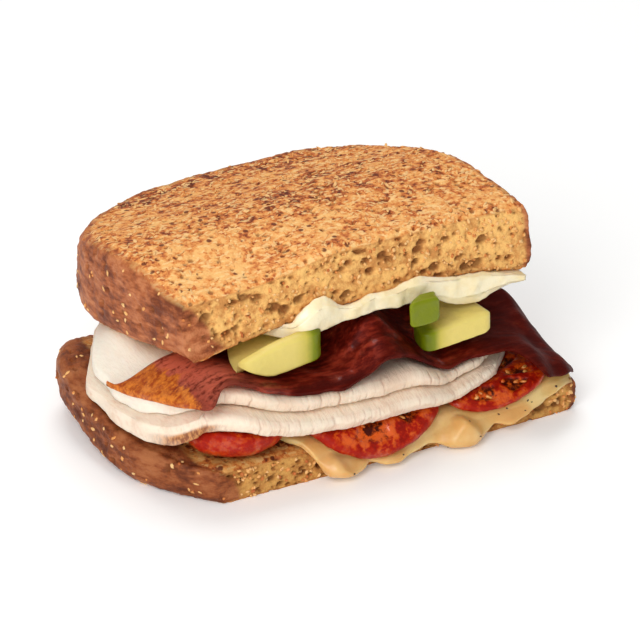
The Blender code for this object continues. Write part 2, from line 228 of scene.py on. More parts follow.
def crown(x, y):
    """Toasted face of the top slice."""
    (left, left_run), (cut, cut_run) = TOP_CORNER
    corner = smooth((-x - left) / left_run) * smooth((-y - cut) / cut_run)
    fall = TOP_FALL_BACK * smooth(y / TOP_BACK_RUN) + TOP_FALL_SIDE * ((x - MIDDLE_X) / ARCH_HALF) ** 2
    return TOP_CROWN - fall - TOP_FALL_CORNER * corner


def press(x, y):
    """How much the fillings are squashed, from 1 where there is room to about half at the corners."""
    room = arch(x, y) - bottom_top(x, y) - (len(LAYERS) + 2) * GAP - RIPPLE
    thin = 1 - THIN_RIGHT * smooth((x - THIN_X[0]) / THIN_X[1]) * smooth((THIN_Y[0] - y) / THIN_Y[1])
    return np.minimum(np.maximum(room / FULL_STACK, LEAST_PRESS), thin)


def droop(x):
    """How far the fillings fall where they reach past the bread's ends."""
    (left, left_at, left_run), (right, right_at, right_run) = DROOP_LEFT, DROOP_RIGHT
    return left * smooth((-x - left_at) / left_run) + right * smooth((x - right_at) / right_run)


def fold(x, q):
    """How far the upper turkey is folded up near its left end."""
    return FOLD * hump(x - FOLD_AT[0], FOLD_WIDE[0]) * hump(q - FOLD_AT[1], FOLD_WIDE[1])


def ripple(x, y):
    wave = np.sin(x / 7.5 + 0.6 * np.sin(y / 15)) * np.cos(y / 26)
    return RIPPLE * (1 + wave) / 2


def lift(layer, x, y, share=0.0):
    """Height above the bottom slice of a point in a layer. share is 0 at its underside and 1 at its top."""
    packed = press(x, y) * (sum(LAYERS[:layer]) + share * LAYERS[layer])
    loose = ripple(x, y) if layer > TOMATO else 0.0
    bulge = BULGE * hump(x - BULGE_X, BULGE_WIDE) * smooth((-y - BULGE_FRONT[0]) / BULGE_FRONT[1])
    return packed + GAP * (layer + 1) + loose + bulge * (share if layer == TOMATO else float(layer > TOMATO))


def drape(x, q, height):
    """A point this high above the bottom slice. q is its y, until the filling bends over the cut edge."""
    over = np.maximum(BEND_Y - q, 0.0)
    angle = np.minimum(over / BEND_PACE, BEND_LIMIT)
    hang = np.maximum(over - BEND_PACE * BEND_LIMIT, 0.0)
    radius = BEND_RADIUS + height
    y = np.where(over > 0, BEND_Y - radius * np.sin(angle) - hang * np.cos(angle), q)
    bent = bottom_top(x, BEND_Y) - BEND_RADIUS + radius * np.cos(angle) - hang * np.sin(angle)
    return x, y, np.where(over > 0, bent, bottom_top(x, q) + height)


def ceiling(x, q):
    """Height above the bottom slice of the spread's underside, with more room in front of the top slice."""
    under = arch(x, q) - bottom_top(x, np.maximum(q, BEND_Y)) - SPREAD - 2 * GAP
    return under + OPEN_ROOM * smooth((OPEN_Q - q) / OPEN_RUN)


def bacon_height(x, q, crests, share):
    """Height above the bottom slice of a rasher, which rises to the spread at each crest."""
    bent = OVERHANG_DROP * hump(x - OVERHANG_X, OVERHANG_WIDE) * smooth((-18 - q) / 12)
    low = lift(BACON, x, q, share) + fold(x, q) - droop(x) - bent
    room = np.maximum(ceiling(x, q) - lift(BACON, x, q, 1.0) - GAP, 0.0)
    steep = CREST_EDGE + (1 - CREST_EDGE) * smooth((q - CREST_FRONT) / CREST_RUN)
    return low + room * steep * np.minimum(sum(tall * hump(x - at, wide) for at, wide, tall in crests), 1.0)


# ---------------------------------------------------------------- meshes


def shell(cells, near_cut=1.0):
    """Corners of a cube's surface, from -1 to 1, and its faces. near_cut over 1 crowds rows to the cut."""
    counts = [n + 1 for n in cells]
    i, j, k = np.indices(counts)
    skin = (i == 0) | (j == 0) | (k == 0) | (i == cells[0]) | (j == cells[1]) | (k == cells[2])
    number = np.full(counts, -1)
    number[skin] = np.arange(skin.sum())
    corners = np.stack([2 * a[skin] / n - 1 for a, n in zip((i, j, k), cells)], 1)
    corners[:, 1] = 2 * ((corners[:, 1] + 1) / 2) ** near_cut - 1
    faces = []
    for axis, end in itertools.product(range(3), (0, -1)):
        sheet = np.take(number, end, axis=axis)
        quads = np.stack([sheet[:-1, :-1], sheet[1:, :-1], sheet[1:, 1:], sheet[:-1, 1:]], -1).reshape(-1, 4)
        faces.append(quads if (end == -1) == (axis != 1) else quads[:, ::-1])
    return corners, np.concatenate(faces)


def normals(points, faces):
    """The direction out of the surface at each point."""
    a, b, c, d = (points[column] for column in faces.T)
    out = np.cross(c - a, d - b)
    total = np.zeros_like(points)
    for column in faces.T:
        for axis in range(3):
            total[:, axis] += np.bincount(column, out[:, axis], len(points))
    return total / np.maximum(np.linalg.norm(total, axis=1, keepdims=True), 1e-12)


def pushed(points, faces, push):
    """The points, moved out of their surface by this much each."""
    return points + normals(points, faces) * push[:, None]


def piece(name, points, faces, finish, slot, nodes=(), **masks):
    """An object of these points, in millimetres, on the sandwich. masks are numbers at each point."""
    mesh = bpy.data.meshes.new(name)
    mesh.from_pydata((points * MM).tolist(), [], faces if isinstance(faces, list) else faces.tolist())
    mesh.validate()
    mesh.shade_smooth()
    for mask, values in masks.items():
        layer = mesh.attributes.new(mask, "FLOAT", "POINT")
        layer.data.foreach_set("value", np.ascontiguousarray(values, np.float32))
    mesh.materials.append(finish)
    made = bpy.data.objects.new(name, mesh)
    bpy.context.scene.collection.objects.link(made)
    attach(made, "root")
    if nodes:
        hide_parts(*nodes)


def bit(sides, rings):
    """A lens of radius 1 across X and Y, for flakes and seeds."""
    corners, faces = [(0.0, 0.0, 1.0)], []
    for ring in range(1, rings):
        tilt = math.pi * ring / rings
        for side in range(sides):
            turn = math.tau * side / sides
            corners.append((math.sin(tilt) * math.cos(turn), math.sin(tilt) * math.sin(turn), math.cos(tilt)))
    corners.append((0.0, 0.0, -1.0))
    last = len(corners) - 1
    for side in range(sides):
        after = (side + 1) % sides
        faces.append((0, 1 + side, 1 + after))
        faces.append((last, last - sides + after, last - sides + side))
        for ring in range(rings - 2):
            a = 1 + ring * sides
            faces.append((a + side, a + sides + side, a + sides + after, a + after))
    return np.array(corners), faces


def scatter(name, surface, weight, count, sizes, sink, seed, finish, slot, lean=0.25):
    """Small bits, such as flakes or seeds, partly sunk in a surface, where weight says.

    sizes are a bit's least and most length, width and thickness. Each has a tint from 0 to 1 of its own.
    """
    points, faces = surface
    rng = np.random.default_rng(seed)
    out = normals(points, faces)
    weight = weight + 1e-9
    chosen = rng.choice(len(points), count, p=weight / weight.sum())
    corners, sides = bit(7, 4)
    all_points, all_faces, tints = [], [], []
    for number, at in enumerate(chosen):
        size = [rng.uniform(low, high) / 2 for low, high in sizes]
        tip = rng.normal(0, lean, 3)
        up = Vector(out[at] + tip).normalized()
        turn = up.to_track_quat("Z", "Y").to_matrix() @ Matrix.Rotation(rng.uniform(0, math.tau), 3, "Z")
        shape = corners * size * (1 + 0.18 * rng.normal(size=corners.shape))
        all_points.append(shape @ np.array(turn).T + points[at] + out[at] * (size[2] - sink * 2 * size[2]))
        all_faces += [tuple(c + number * len(corners) for c in side) for side in sides]
        tints.append(np.full(len(corners), rng.uniform()))
    piece(name, np.concatenate(all_points), all_faces, finish, slot, tint=np.concatenate(tints))


# ---------------------------------------------------------------- materials


class Socket:
    """An output of a material's node. Arithmetic on it adds Math nodes."""

    def __init__(self, finish, output):
        self.finish, self.output = finish, output

    def __add__(self, other):
        return self.finish.maths("ADD", self, other)

    __radd__ = __add__

    def __sub__(self, other):
        return self.finish.maths("SUBTRACT", self, other)

    def __rsub__(self, other):
        return self.finish.maths("SUBTRACT", other, self)

    def __mul__(self, other):
        return self.finish.maths("MULTIPLY", self, other)

    __rmul__ = __mul__


class Finish:
    """A material in the making. Constants are set on the shader itself, and what varies is fed to it."""

    def __init__(self, name, **constants):
        self.material = bpy.data.materials.new(name)
        self.material.use_nodes = True
        self.tree = self.material.node_tree
        self.shader = self.tree.nodes["Principled BSDF"]
        for socket, value in constants.items():
            self.shader.inputs[socket.replace("_", " ")].default_value = value
        self.place = self.node("ShaderNodeTexCoord", out="Object")

    def node(self, kind, settings=None, sockets=None, out=0):
        """A node of this kind, with its settings made first, then its sockets set or linked."""
        made = self.tree.nodes.new(kind)
        for key, value in (settings or {}).items():
            if key == "stops":
                while len(made.color_ramp.elements) < len(value):
                    made.color_ramp.elements.new(0.5)
                for element, (position, shade) in zip(made.color_ramp.elements, value):
                    element.position, element.color = position, (*shade, 1.0)
            else:
                setattr(made, key, value)
        for key, value in (sockets or {}).items():
            self.feed(made.inputs[key], value)
        return Socket(self, made.outputs[out])

    def feed(self, socket, value):
        if isinstance(value, Socket):
            self.tree.links.new(value.output, socket)
        elif hasattr(socket.default_value, "__len__") and len(socket.default_value) == 4:
            socket.default_value = (*value, 1.0)
        else:
            socket.default_value = value

    def maths(self, operation, *values):
        return self.node("ShaderNodeMath", {"operation": operation}, dict(enumerate(values)))

    def mask(self, name):
        """A number kept at each point of the mesh."""
        return self.node("ShaderNodeAttribute", {"attribute_name": name}, out="Fac")

    def lattice(self, size, stretch, at):
        """The place on the object, in steps of this size in millimetres, stretched along each axis."""
        return self.node(
            "ShaderNodeVectorMath", {"operation": "MULTIPLY_ADD"},
            {0: self.place, 1: tuple(1 / (size * MM * s) for s in stretch), 2: (at, at, at)},
        )

    def noise(self, size, detail=3.0, roughness=0.55, stretch=(1, 1, 1), at=0.0):
        """Noise with lumps of about this size."""
        where = self.lattice(size, stretch, at)
        sockets = {"Vector": where, "Scale": 1.0, "Detail": detail, "Roughness": roughness}
        return self.node("ShaderNodeTexNoise", None, sockets)

    def spots(self, size, at=0.0):
        """Distance to the nearest of scattered points a size apart."""
        where = self.lattice(size, (1, 1, 1), at)
        return self.node("ShaderNodeTexVoronoi", None, {"Vector": where, "Scale": 1.0}, "Distance")

    def between(self, value, low, high):
        """0 below low, 1 above high, and an S between them."""
        return self.node(
            "ShaderNodeMapRange", {"interpolation_type": "SMOOTHSTEP"},
            {"Value": value, "From Min": low, "From Max": high},
        )

    def ramp(self, value, *stops):
        """Colours at places from 0 to 1."""
        return self.node("ShaderNodeValToRGB", {"stops": stops}, {"Fac": value})

    def mix(self, share, first, second, how="MIX"):
        return self.node(
            "ShaderNodeMix", {"data_type": "RGBA", "blend_type": how}, {0: share, 6: first, 7: second}, out=2
        )

    def done(self, colour, roughness=None, height=None, depth=0.3, coat=None):
        """Feeds the shader. height makes a bump this deep in millimetres."""
        self.feed(self.shader.inputs["Base Color"], colour)
        if roughness is not None:
            self.feed(self.shader.inputs["Roughness"], roughness)
        if coat is not None:
            self.feed(self.shader.inputs["Coat Weight"], coat)
        if height is not None:
            sockets = {"Strength": 1.0, "Distance": depth * MM, "Height": height}
            self.feed(self.shader.inputs["Normal"], self.node("ShaderNodeBump", None, sockets))
        return self.material


def bread_finish(look):
    """Toasted multigrain bread: griddled faces, brown crust and open crumb, told apart by masks."""
    f = Finish("toasted_bread", Roughness=0.7, Specular_IOR_Level=0.2)
    toasted, crumb, pit, char = f.mask("toasted"), f.mask("crumb"), f.mask("pit"), f.mask("char")
    fine, middling, broad = f.noise(1.3, 3, 0.6), f.noise(3.6, 4, 0.7, at=7), f.noise(12, 3, 0.6, at=3)
    browned = f.between(0.48 * middling + 0.20 * broad + 0.32 * fine + 0.06 * char, 0.40, 0.64)
    face = f.ramp(
        browned,
        (0.0, look.toast_pale), (0.38, look.toast_golden), (0.74, look.toast_brown), (1.0, look.toast_dark),
    )
    grain = f.between(f.noise(1.2, 2, 0.5, stretch=(1.6, 1, 1), at=11), 0.55, 0.62)
    face = f.mix(0.75 * grain, face, look.flake_pale)
    fleck = f.between(f.spots(3.4, at=4), 0.26, 0.16) * f.between(f.noise(5.0, 2, at=9), 0.47, 0.53)
    face = f.mix(0.9 * fleck, face, look.toast_dark)

    wrinkle = f.noise(2.4, 4, 0.65, stretch=(2.2, 2.2, 0.8), at=5)
    crust = f.ramp(
        f.between(0.6 * wrinkle + 0.4 * broad, 0.36, 0.66),
        (0.0, look.crust_dark), (0.5, look.crust_brown), (1.0, look.crust_light),
    )
    golden = f.between(0.35 * broad + 0.4 * middling + 0.25 * fine, 0.42, 0.55)
    inside = f.mix(golden, look.crumb_shade, look.crumb_golden)
    colour = f.mix(f.between(toasted, 0.25, 0.85), crust, face)
    colour = f.mix(crumb, colour, inside)
    # Painted shade: the whole bottom slice, faces, crust and crumb, is multiplied darker.
    colour = f.mix(f.mask("browner"), colour, (0.70, 0.64, 0.54), "MULTIPLY")
    # Painted shade in the pores of the crumb, the toasted faces and the crust.
    colour = f.mix(f.between(pit, 0.1, 0.9) * 0.7, colour, look.pore_painted_shade)
    height = 0.6 * fine + 0.4 * f.noise(0.5, 2, 0.6, at=2)
    return f.done(colour, roughness=0.55 + 0.25 * crumb + 0.1 * toasted, height=height, depth=0.4)


def flake_finish(look):
    f = Finish("grain_flakes", Roughness=0.6, Specular_IOR_Level=0.3)
    colour = f.ramp(
        f.mask("tint"),
        (0.0, look.flake_pale), (0.6, look.toast_pale), (0.88, look.toast_golden), (1.0, look.toast_brown),
    )
    colour = f.mix(0.25 * f.noise(0.7, 2), colour, look.crust_brown)
    return f.done(colour, height=f.noise(0.4, 2), depth=0.15)


def cheese_finish(look):
    f = Finish(
        "melted_cheese",
        Roughness=0.3, Specular_IOR_Level=0.5, Subsurface_Weight=0.35, Subsurface_Scale=0.004,
        Subsurface_Radius=(1.0, 0.6, 0.3), Coat_Roughness=0.18,
    )
    broad, fine = f.noise(9, 3, 0.5), f.noise(1.6, 3, 0.6, at=3)
    colour = f.mix(f.between(broad, 0.38, 0.66), look.cheese_shade, look.cheese_pale)
    colour = f.mix(0.5 * f.mask("browned"), colour, look.toast_golden)
    wet = 0.35 * f.between(broad, 0.4, 0.6)
    return f.done(colour, roughness=0.26 + 0.2 * fine, height=fine, depth=0.12, coat=wet)


def tomato_finish(look):
    f = Finish("cooked_tomato", Roughness=0.3, Specular_IOR_Level=0.14, Coat_Roughness=0.08)
    gel, rim = f.mask("gel"), f.mask("rim")
    broad, fine = f.noise(4.5, 3, 0.6), f.noise(1.5, 4, 0.65, at=6)
    flesh = f.ramp(
        f.between(0.6 * broad + 0.4 * fine, 0.36, 0.61),
        (0.0, look.tomato_deep), (0.5, look.tomato_red), (1.0, look.tomato_orange),
    )
    inside = f.mix(f.between(0.5 * broad + 0.5 * fine, 0.44, 0.56), look.tomato_dark, look.tomato_orange)
    colour = f.mix(gel, flesh, inside)
    colour = f.mix(0.6 * rim, colour, look.tomato_red)
    wet = 0.75 * f.between(broad, 0.5, 0.62)
    return f.done(colour, roughness=0.22 + 0.25 * fine, height=fine, depth=0.3, coat=wet)


def seed_finish(look):
    f = Finish("tomato_seeds", Roughness=0.25, Specular_IOR_Level=0.6)
    colour = f.mix(f.mask("tint"), look.seed_pale, look.tomato_orange)
    return f.done(colour, height=f.noise(0.5, 2), depth=0.06)


def turkey_finish(look):
    f = Finish(
        "roast_turkey",
        Roughness=0.5, Specular_IOR_Level=0.4, Subsurface_Weight=0.2, Subsurface_Scale=0.003,
        Subsurface_Radius=(1.0, 0.55, 0.4), Coat_Roughness=0.3,
    )
    crack, skin = f.mask("crack"), f.mask("skin")
    broad, fine = f.noise(8, 3, 0.55), f.noise(0.9, 4, 0.65, stretch=(0.6, 2.5, 2.0), at=4)
    colour = f.ramp(
        f.between(0.55 * broad + 0.45 * fine, 0.36, 0.64),
        (0.0, look.turkey_shade), (0.5, look.turkey_pink), (1.0, look.turkey_white),
    )
    # Painted shade over the upper slice, where the top slice shades it, in blotches of the fine noise.
    colour = f.mix(f.mask("upper") * f.between(fine, 0.35, 0.6) * 0.55, colour, look.turkey_shade)
    # Painted light on the flap, which the top slice shades.
    colour = f.mix(0.7 * f.mask("flap"), colour, look.flap_painted_light)
    # Painted shade in the cracks between the fibres.
    colour = f.mix(0.8 * crack, colour, look.crack_painted_shade)
    roast = f.mix(f.between(fine, 0.4, 0.6), look.skin_dark, look.skin_golden)
    colour = f.mix(skin, colour, roast)
    moist = 0.25 * f.between(broad, 0.45, 0.6)
    return f.done(colour, roughness=0.40 + 0.25 * fine, height=fine, depth=0.22, coat=moist)


def bacon_finish(look):
    f = Finish(
        "crisp_bacon",
        Roughness=0.3, Specular_IOR_Level=0.05, Subsurface_Weight=0.08, Subsurface_Scale=0.0015,
        Subsurface_Radius=(1.0, 0.3, 0.15), Coat_Roughness=0.12,
    )
    fat, char = f.mask("fat"), f.mask("char")
    streak = f.noise(1.6, 4, 0.62, stretch=(6, 1, 1), at=2)
    fine, broad = f.noise(1.1, 3, 0.6, at=8), f.noise(7, 3, 0.6, at=1)
    lean = f.ramp(
        f.between(0.55 * streak + 0.45 * broad, 0.36, 0.64),
        (0.0, look.bacon_dark), (0.5, look.bacon_red), (1.0, look.bacon_bright),
    )
    grain = 0.6 * streak + 0.4 * fine
    rind = f.mix(f.between(grain, 0.38, 0.62), look.fat_brown, look.fat_golden)
    lean = f.mix(0.9 * f.mask("pink") * f.between(grain, 0.30, 0.54), lean, look.bacon_pink)
    colour = f.mix(f.between(fat + 0.9 * streak, 0.80, 1.08), lean, rind)
    # char darkens the crisp edges and, as painted shade, the right end.
    colour = f.mix(char, colour, look.bacon_dark)
    return f.done(
        colour, roughness=0.30 + 0.25 * fine + 0.15 * char, height=grain, depth=0.3,
        coat=0.5 * f.between(broad, 0.5, 0.62) * (1 - 1.3 * char),
    )


def avocado_finish(look):
    f = Finish(
        "avocado_flesh",
        Roughness=0.38, Specular_IOR_Level=0.22, Subsurface_Weight=0.2, Subsurface_Scale=0.003,
        Subsurface_Radius=(0.8, 1.0, 0.3), Coat_Roughness=0.2,
    )
    fine = f.noise(2.2, 3, 0.55)
    colour = f.ramp(
        f.mask("rind") + 0.12 * (fine - 0.5),
        (0.0, look.avocado_butter), (0.45, look.avocado_yellow),
        (0.75, look.avocado_green), (1.0, look.avocado_deep),
    )
    moist = 0.2 * f.between(fine, 0.4, 0.6)
    return f.done(colour, roughness=0.30 + 0.2 * fine, height=fine, depth=0.2, coat=moist)


def spread_finish(look):
    f = Finish(
        "white_spread",
        Roughness=0.35, Specular_IOR_Level=0.5, Subsurface_Weight=0.25, Subsurface_Scale=0.004,
        Subsurface_Radius=(1.0, 0.8, 0.5), Coat_Roughness=0.2,
    )
    broad, fine = f.noise(6, 3, 0.6), f.noise(1.2, 3, 0.6, at=5)
    colour = f.mix(f.between(broad, 0.35, 0.65), look.spread_shade, look.spread_white)
    wet = 0.3 * f.between(fine, 0.4, 0.6)
    return f.done(colour, roughness=0.25 + 0.2 * fine, height=fine, depth=0.15, coat=wet)


def pepper_finish(look):
    f = Finish("pepper", Roughness=0.5)
    colour = f.mix(f.mask("tint"), (0.02, 0.012, 0.008), (0.10, 0.05, 0.025))
    return f.done(colour, height=f.noise(0.4, 2), depth=0.05)


FINISHES = {
    "bread": bread_finish, "flakes": flake_finish, "cheese": cheese_finish, "pepper": pepper_finish,
    "tomato": tomato_finish, "seed": seed_finish, "turkey": turkey_finish, "bacon": bacon_finish,
    "avocado": avocado_finish, "spread": spread_finish,
}


# ---------------------------------------------------------------- the pieces


def rounded_cut(v, w, high, low):
    """How far a slice's upper cut edge is worn back, and how far down: both faces turn the same circle."""
    turn = BEND_RADIUS * (1 - math.sqrt(0.5))
    depth = (high - low) * (1 - w) / 2
    along = (v + 1) * CUT_DEPTH
    on_cut, on_face = v == -1, w == 1
    # Down the cut face.
    fall = np.where(on_cut, turn * np.clip(1 - depth / BEND_RADIUS, 0, 1), 0.0)
    reach = np.clip(BEND_RADIUS - depth - fall, 0, BEND_RADIUS)
    back = np.where(on_cut, BEND_RADIUS - np.sqrt(BEND_RADIUS**2 - reach**2), 0.0)
    # Back along the upper face.
    shift = np.where(on_face, turn * np.clip(1 - along / BEND_RADIUS, 0, 1), 0.0)
    reach = np.clip(BEND_RADIUS - along - shift, 0, BEND_RADIUS)
    drop = np.where(on_face, BEND_RADIUS - np.sqrt(BEND_RADIUS**2 - reach**2), 0.0)
    return np.maximum(back, shift), np.maximum(fall, drop)


def bread(look, name, plan, lower, upper, offset, lean, slant, wrap, seed, cells):
    """A half slice between two surfaces, with toasted faces, a wrinkled crust and pores in its crumb.

    lean is how far its lower left corner is pushed in at the cut, and slant how far the cut's lower edge
    stands out. wrap is how far the crust comes round the left end of the cut at the bottom.
    """
    corners, faces = shell(cells)
    u, v, w = corners.T
    turn_in = CRUST_ROUND * np.abs(w) ** 5
    x, y = slice_plan(plan, u, v)
    x = x * (1 - turn_in / ROUND_WIDE)
    y = np.where(v > 0, y * (1 - turn_in / ROUND_DEEP), y)
    side = np.abs(u) ** 8
    x = x + 0.5 * rough(x, y, 10 * w, 9, seed) * side
    x = x + lean * (1 - w) / 2 * smooth((-u - 0.5) / 0.5) * smooth((-0.1 - v) / 0.9)
    y = y + 0.5 * rough(x, y, 10 * w, 9, seed + 1) * np.maximum(v, 0) ** 8 + offset
    low, high = lower(x, y), upper(x, y)
    z = low + (high - low) * (w + 1) / 2
    back, drop = rounded_cut(v, w, high, low)
    on_cut = v == -1
    y = y + back - np.where(on_cut, slant * (1 - w) / 2, 0.0)
    z = z - drop

    outline = np.maximum(np.abs(u), np.maximum(v, 0))
    toasted = (np.abs(w) == 1) * (1 - 0.5 * smooth((outline - 0.965) / 0.035))
    toasted = np.maximum(toasted, 0.6 * smooth((np.abs(w) - 0.72) / 0.28))
    if name == "bottom_slice":
        toasted = toasted * smooth((x + 58) / 6)
    left_crust = plan["left"][0] - wrap * (1 - w) / 2 + 1.6 * rough(x, 0, z, 4, seed + 13)
    crumb = on_cut * smooth((0.995 - np.abs(w)) / 0.09)
    crumb = crumb * smooth((0.985 - u) / 0.03) * smooth((x + left_crust - 2) / 2)
    crust = (1 - np.minimum(toasted, 1)) * (1 - crumb)

    size = look.pore_size / MM
    big, small = pores(x / 1.5, y, z, size, 0.75, seed), pores(x / 1.3, y, z, 0.45 * size, 0.7, seed + 3)
    face_pores = pores(x, y, z / 2, 0.62 * size, 0.32, seed + 5)
    side_pores = pores(x, y, z, 0.8 * size, 0.16, seed + 9)
    outer = toasted * face_pores + 0.7 * crust * side_pores
    # pit is where the pores are sunk in, and they are painted with shade as well.
    pit = crumb * np.maximum(big, 0.8 * small) + (1 - crumb) * outer

    torn = 0.6 * rougher(x, y, z, 2.6, seed) + 0.4 * rough(x, y, z, 1.1, seed + 2)
    lumpy = 0.35 * rougher(x, y, z, 6, seed + 4, 2) + 0.22 * rough(x, y, z, 1.7, seed + 6)
    wrinkled = 0.6 * rougher(x / 2, y / 2, z, 3.4, seed + 8) + 0.3 * rough(x, y, z, 1.3, seed + 11)
    push = crumb * (torn - 1.6 * big - 0.8 * small)
    push = push + (1 - crumb) * toasted * (lumpy - 0.7 * face_pores)
    push = push + crust * (wrinkled - 0.7 * side_pores)
    push = push - 0.6 * smooth((outline - 0.97) / 0.03) * (np.abs(w) == 1)
    points = pushed(np.stack([x, y, z], 1), faces, push)
    # The bottom slice carries a mask of painted shade, which darkens all of it.
    piece(name, points, faces, look.finishes["bread"], "toasted_bread", (name,),
          toasted=toasted, crumb=crumb, pit=pit, char=browning(x, y, seed) * (w > 0),
          browner=np.full_like(u, name == "bottom_slice"))
    return points, faces, toasted, crumb, crust


def browning(x, y, seed):
    """Where the griddle has browned the top more: a band along the middle and towards the far edge."""
    band = hump((y - 12 + 0.12 * x), 16) * hump(x - 2, 44)
    far = hump(y - 44, 8) * 0.8
    return 0.9 * band + far + 0.6 * rough(x, y, 0, 18, seed) - 0.25 * hump(y + 18, 12)


def add_bread(look):
    cells = BREAD_CELLS
    flakes = look.finishes["flakes"]
    for name, plan, lower, upper, offset, lean, slant, wrap, seed in (
        ("bottom_slice", BOTTOM_PLAN, base, bottom_top, 0.0, 0.0, 0.0, 4.0, 1),
        ("top_slice", TOP_PLAN, arch, crown, TOP_OFFSET, 2.0, TOP_SLANT, 10.0, 2),
    ):
        points, faces, toasted, crumb, crust = bread(
            look, name, plan, lower, upper, offset, lean, slant, wrap, seed, cells
        )
        upper_face = (toasted > 0.9) * (normals(points, faces)[:, 2] > 0.5)
        if name == "top_slice":
            scatter(name + "_flakes", (points, faces), upper_face, 900,
                    ((1.0, 2.6), (0.5, 1.1), (0.25, 0.5)), 0.45, 21, flakes, "toasted_bread")
        scatter(name + "_crust_flakes", (points, faces), crust, 170,
                ((0.8, 2.0), (0.6, 1.2), (0.3, 0.5)), 0.55, 22 + seed, flakes, "toasted_bread")
        scatter(name + "_crumbs", (points, faces), crumb, 240,
                ((0.6, 1.6), (0.5, 1.2), (0.5, 1.0)), 0.4, 26 + seed, flakes, "toasted_bread", 0.6)


def add_cheese(look):
    """A sheet of cheese that has run over the cut edge and hangs down in folds."""
    half, narrow, back = 53.0, 12.0, 36.0  # half width, how much less at the back, and where that is
    start, middle = BEND_Y + 5, BEND_Y + 7
    overhang, short = 22.0, 5.0  # how far it hangs past its start, and how much less at its right end
    tucked = 6.0  # how much further back its left corner lies
    bead, swelling = 2.0, 3.0  # how much thicker the hanging edge is, and how much more in each run

    corners, faces = shell((200, 84, 6), 1.5)
    u, v, w = corners.T
    at_cut = 54 * u
    reach = np.max([far * hump(at_cut - at, 1.3 * wide) for at, wide, far in CHEESE_RUNS], axis=0)
    wavy = 0.8 * rough(at_cut, 0, 0, 5, 3)
    tuck = tucked * smooth((-u - 0.88) / 0.1)
    front = start + tuck - (overhang + reach + wavy) * smooth((u + 0.62) / 0.20)
    front = front + short * smooth((u - 0.8) / 0.2)
    centre = middle + tuck
    q = centre + np.where(v < 0, v * (centre - front), v * (back - centre))
    x = u * (half - narrow * smooth((q - 2) / 30) ** 2)
    thin = 1 - 0.55 * smooth((np.abs(u) - 0.9) / 0.1)
    # The lip is round, and thickest where most has run.
    lip = np.sqrt(np.maximum(1 - (1 - np.clip((q - front) / 2.6, 0, 1)) ** 2, 0))
    up = 0.5 + w / 2 * (0.12 + 0.88 * lip)
    height = lift(CHEESE, x, q, up * thin) + 0.4 * hump(at_cut + 26.5, 3) * smooth((-30 - q) / 2)
    swell = np.max([hump(at_cut - at, wide) for at, wide, far in CHEESE_RUNS], axis=0)
    swollen = -47.0 + 7 * hump(at_cut - 18, 4) + 3 * hump(at_cut + 21, 3)
    height = height + smooth((swollen - q) / 6.0) * up * (bead + swelling * swell)
    free = smooth((-34 - q) / 4)
    push = free * (0.5 * rougher(x, q, 2 * w, 8, 5, 2) + 0.08 * rough(x, q, w, 2.2, 8))
    points = pushed(np.stack(drape(x, q, height), 1), faces, push)
    browned = free * smooth(0.5 + rough(x, q, 0, 9, 12)) * 0.5
    piece("melted_cheese", points, faces, look.finishes["cheese"], "melted_cheese", ("melted_cheese",),
          browned=browned)
    scatter("cheese_pepper", (points, faces), (w == 1) * smooth((-38 - q) / 3), 14,
            ((0.4, 0.9), (0.4, 0.7), (0.2, 0.3)), 0.5, 41, look.finishes["pepper"], "melted_cheese")


def add_tomatoes(look):
    """Five slices of tomato with skin, ribs, seed chambers and seeds."""
    for name, middle, radius, seed in (
        ("tomato_left", (-41.6, -23.5), 13.7, 0.3),
        ("tomato_middle", (-6, -28.5), 20.5, 1.4),
        ("tomato_right", (31, -29), 15.5, 2.2),
        ("tomato_far_left", (-27, 14), 15.5, 3.1),
        ("tomato_far_right", (12, 13), 16.5, 4.4),
    ):
        corners, faces = shell((64, 64, 6))
        u, v, w = corners.T
        length = np.maximum(np.hypot(u, v), 1e-9)
        share = np.maximum(np.abs(u), np.abs(v)) / length
        a, b = u * share, v * share
        angle = np.arctan2(b, a)
        uneven = 1 + 0.03 * np.sin(3 * angle + seed)
        edge = 1 - 0.08 * w * w
        x = middle[0] + a * radius * uneven * edge
        q = np.maximum(middle[1] + b * radius * uneven * edge, TOMATO_FRONT)
        distance = np.hypot(a, b)
        ribs = np.abs(np.sin(3.5 * angle + seed + 0.5 * np.sin(2 * angle)))
        gel = smooth((ribs - 0.42) / 0.3) * smooth((distance - 0.28) / 0.12) * smooth((0.84 - distance) / 0.1)
        gel = gel * (np.abs(w) == 1)
        rim = smooth((distance - 0.955) / 0.03)
        push = -0.75 * gel + 0.4 * rougher(x, q, w, 4.0, int(10 * seed), 3)
        points = pushed(np.stack(drape(x, q, lift(TOMATO, x, q, (w + 1) / 2)), 1), faces, push)
        piece(name, points, faces, look.finishes["tomato"], "cooked_tomato", (name,), gel=gel, rim=rim)
        scatter(name + "_seeds", (points, faces), gel * (w == 1), 22,
                ((1.5, 2.1), (0.9, 1.3), (0.5, 0.8)), 0.25, 50 + int(10 * seed),
                look.finishes["seed"], "cooked_tomato", 0.3)


